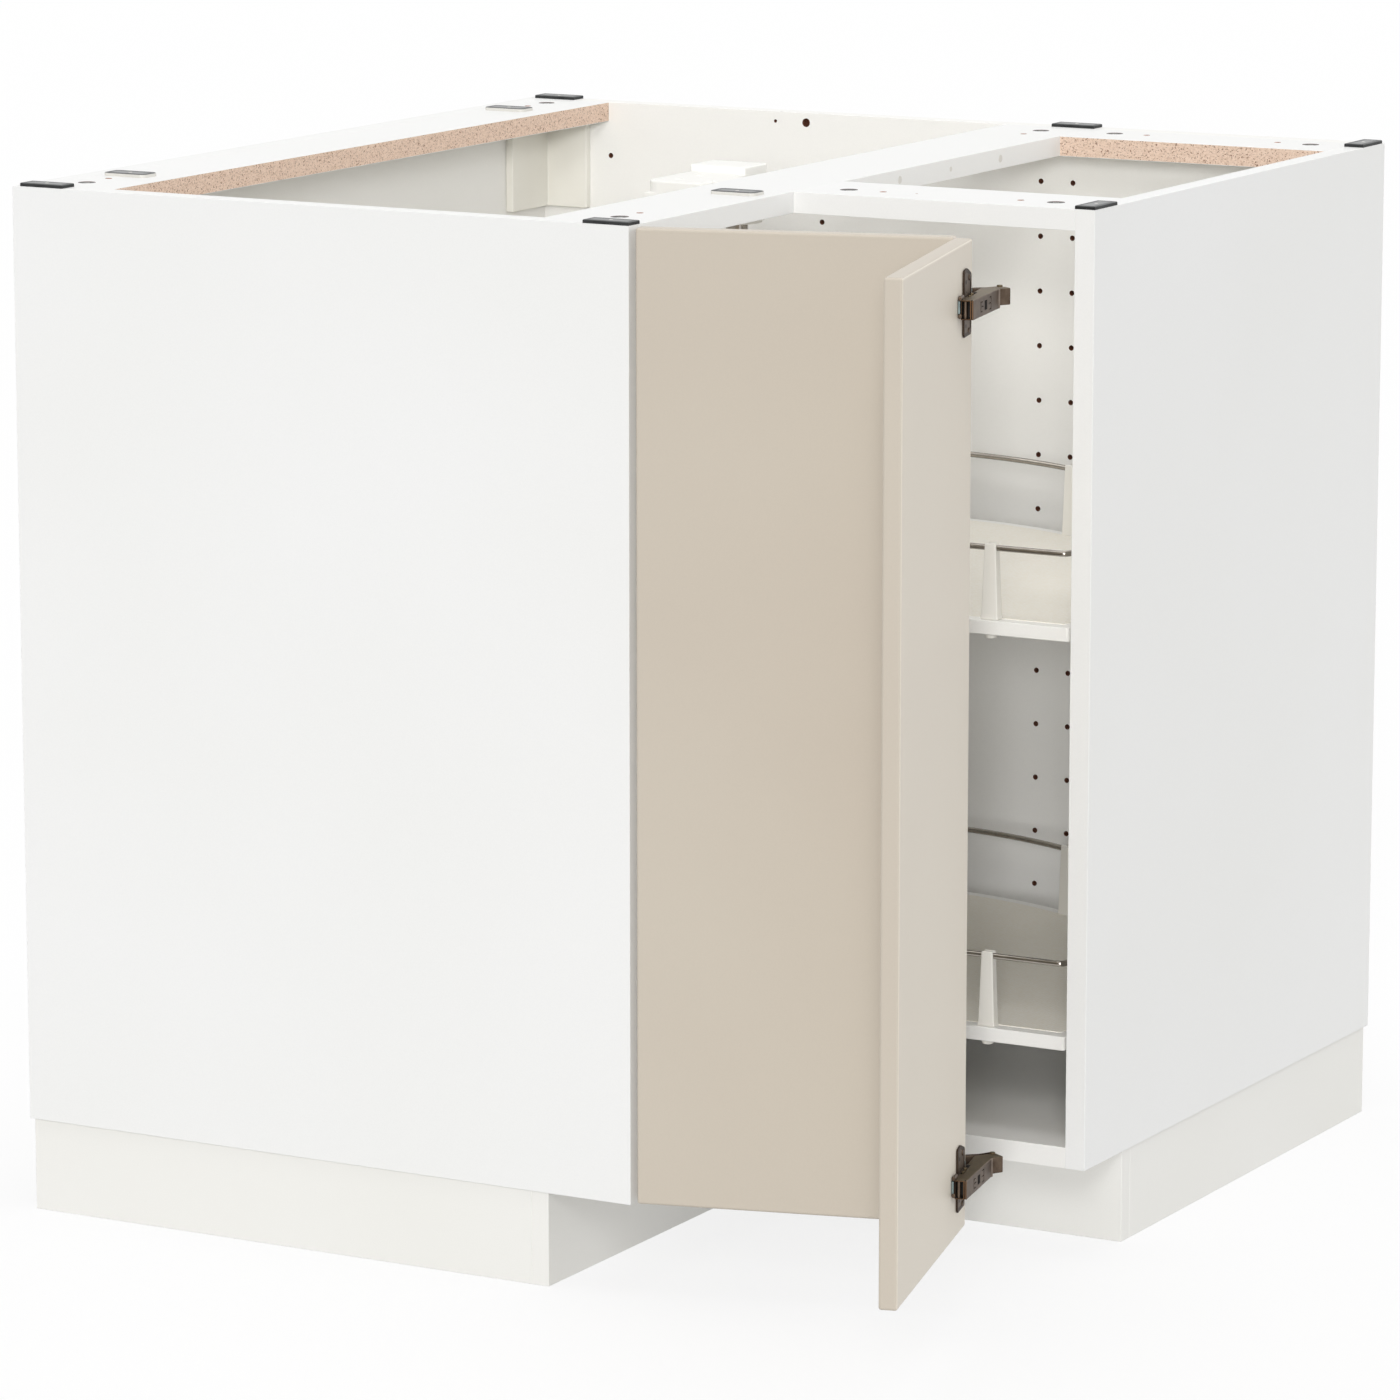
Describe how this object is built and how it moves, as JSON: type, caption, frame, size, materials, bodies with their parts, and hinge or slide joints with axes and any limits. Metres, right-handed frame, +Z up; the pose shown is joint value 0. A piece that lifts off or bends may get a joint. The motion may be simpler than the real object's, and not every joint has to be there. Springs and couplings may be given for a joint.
{
  "type": "corner carousel cabinet",
  "caption": "Corner base cabinet with an L-shaped white carcass, a folding pair of beige door leaves, and round turning shelves with wire rails on a central pole.",
  "frame": {"origin": "where the carousel's axis meets the floor, at the foot of the centre leg", "axes": "+Z up; +Y towards the rear wall; +X along the rear wall, away from the left wall; the doors close the corner between -Y and +X"},
  "size_m": [0.9245, 1.0462, 0.883],
  "materials": {
    "white_board": "chipboard faced with smooth white foil, satin",
    "plinth_board": "chipboard faced with slightly warmer white foil, satin",
    "door_board": "lacquered board, beige, softly rounded upright edges, satin",
    "shelf_board": "white faced board with a cream ribbed mat set inside a smooth white border",
    "white_plastic": "moulded off-white plastic, fine grain",
    "black_plastic": "moulded black plastic",
    "bronze_metal": "pressed steel with a dark bronze-grey nickel finish",
    "zinc_metal": "zinc-plated steel, dull grey",
    "chrome": "bright chrome-plated steel"
  },
  "bodies": {
    "carcass": {"left_end_panel": "white_board", "right_end_panel": "white_board", "left_wall_panel": "white_board", "rear_wall_panel": "white_board", "bottom_panel": "white_board", "rail_left": "white_board", "rail_middle": "white_board", "rail_front": "white_board", "rail_rear": "white_board", "corner_angle": "white_plastic", "plinth_front": "plinth_board", "plinth_inner_side": "plinth_board", "plinth_recessed_front": "plinth_board", "plinth_right_side": "plinth_board", "leg_front_left": "black_plastic", "leg_front_inner": "black_plastic", "leg_rear_left": "black_plastic", "leg_rear_right": "black_plastic", "leg_front_right": "black_plastic", "leg_centre": "black_plastic", "worktop_pad_1": "zinc_metal", "worktop_pad_2": "zinc_metal", "worktop_pad_3": "zinc_metal", "worktop_pad_4": "zinc_metal", "worktop_pad_5": "zinc_metal", "worktop_pad_6": "zinc_metal", "worktop_pad_7": "zinc_metal", "worktop_pad_8": "zinc_metal", "worktop_pad_9": "zinc_metal", "cabinet_hinge_arm_lower": "zinc_metal", "cabinet_hinge_arm_upper": "zinc_metal", "carousel_pole": "chrome", "bottom_bearing": "white_plastic", "top_bearing_bracket": "white_plastic"},
    "leaf_1": {"door_leaf_1": "door_board", "cabinet_hinge_cup_lower": "zinc_metal", "cabinet_hinge_cup_upper": "zinc_metal", "bifold_hinge_cup_lower": "zinc_metal", "bifold_hinge_cup_upper": "zinc_metal"},
    "leaf_2": {"door_leaf_2": "door_board", "bifold_hinge_plate_lower": "bronze_metal", "bifold_hinge_plate_upper": "bronze_metal", "bifold_hinge_arm_lower": "bronze_metal", "bifold_hinge_arm_upper": "bronze_metal"},
    "lower_shelf": {"lower_shelf": "shelf_board", "lower_shelf_rail": "chrome", "lower_shelf_hub": "white_plastic", "lower_shelf_post_1": "white_plastic", "lower_shelf_post_2": "white_plastic", "lower_shelf_post_3": "white_plastic", "lower_shelf_post_4": "white_plastic", "lower_shelf_post_5": "white_plastic"},
    "upper_shelf": {"upper_shelf": "shelf_board", "upper_shelf_rail": "chrome", "upper_shelf_hub": "white_plastic", "upper_shelf_post_1": "white_plastic", "upper_shelf_post_2": "white_plastic", "upper_shelf_post_3": "white_plastic", "upper_shelf_post_4": "white_plastic", "upper_shelf_post_5": "white_plastic"}
  },
  "joints": [
    {"name": "leaf_1_hinge", "type": "hinge", "parent": "carcass", "child": "leaf_1", "pos_m": [0.128, -0.384, 0.48], "axis": [0, 0, 1], "range_deg": [-78, 75]},
    {"name": "leaf_2_fold", "type": "hinge", "parent": "leaf_1", "child": "leaf_2", "pos_m": [0.37079, -0.32552, 0.48], "axis": [0, 0, 1], "range_deg": [-60, 0]},
    {"name": "lower_shelf_spin", "type": "hinge", "parent": "carcass", "child": "lower_shelf", "pos_m": [0, 0, 0.1795], "axis": [0, 0, 1], "range_deg": [-360, 360]},
    {"name": "upper_shelf_spin", "type": "hinge", "parent": "carcass", "child": "upper_shelf", "pos_m": [0, 0, 0.525], "axis": [0, 0, 1], "range_deg": [-360, 360]}
  ]
}
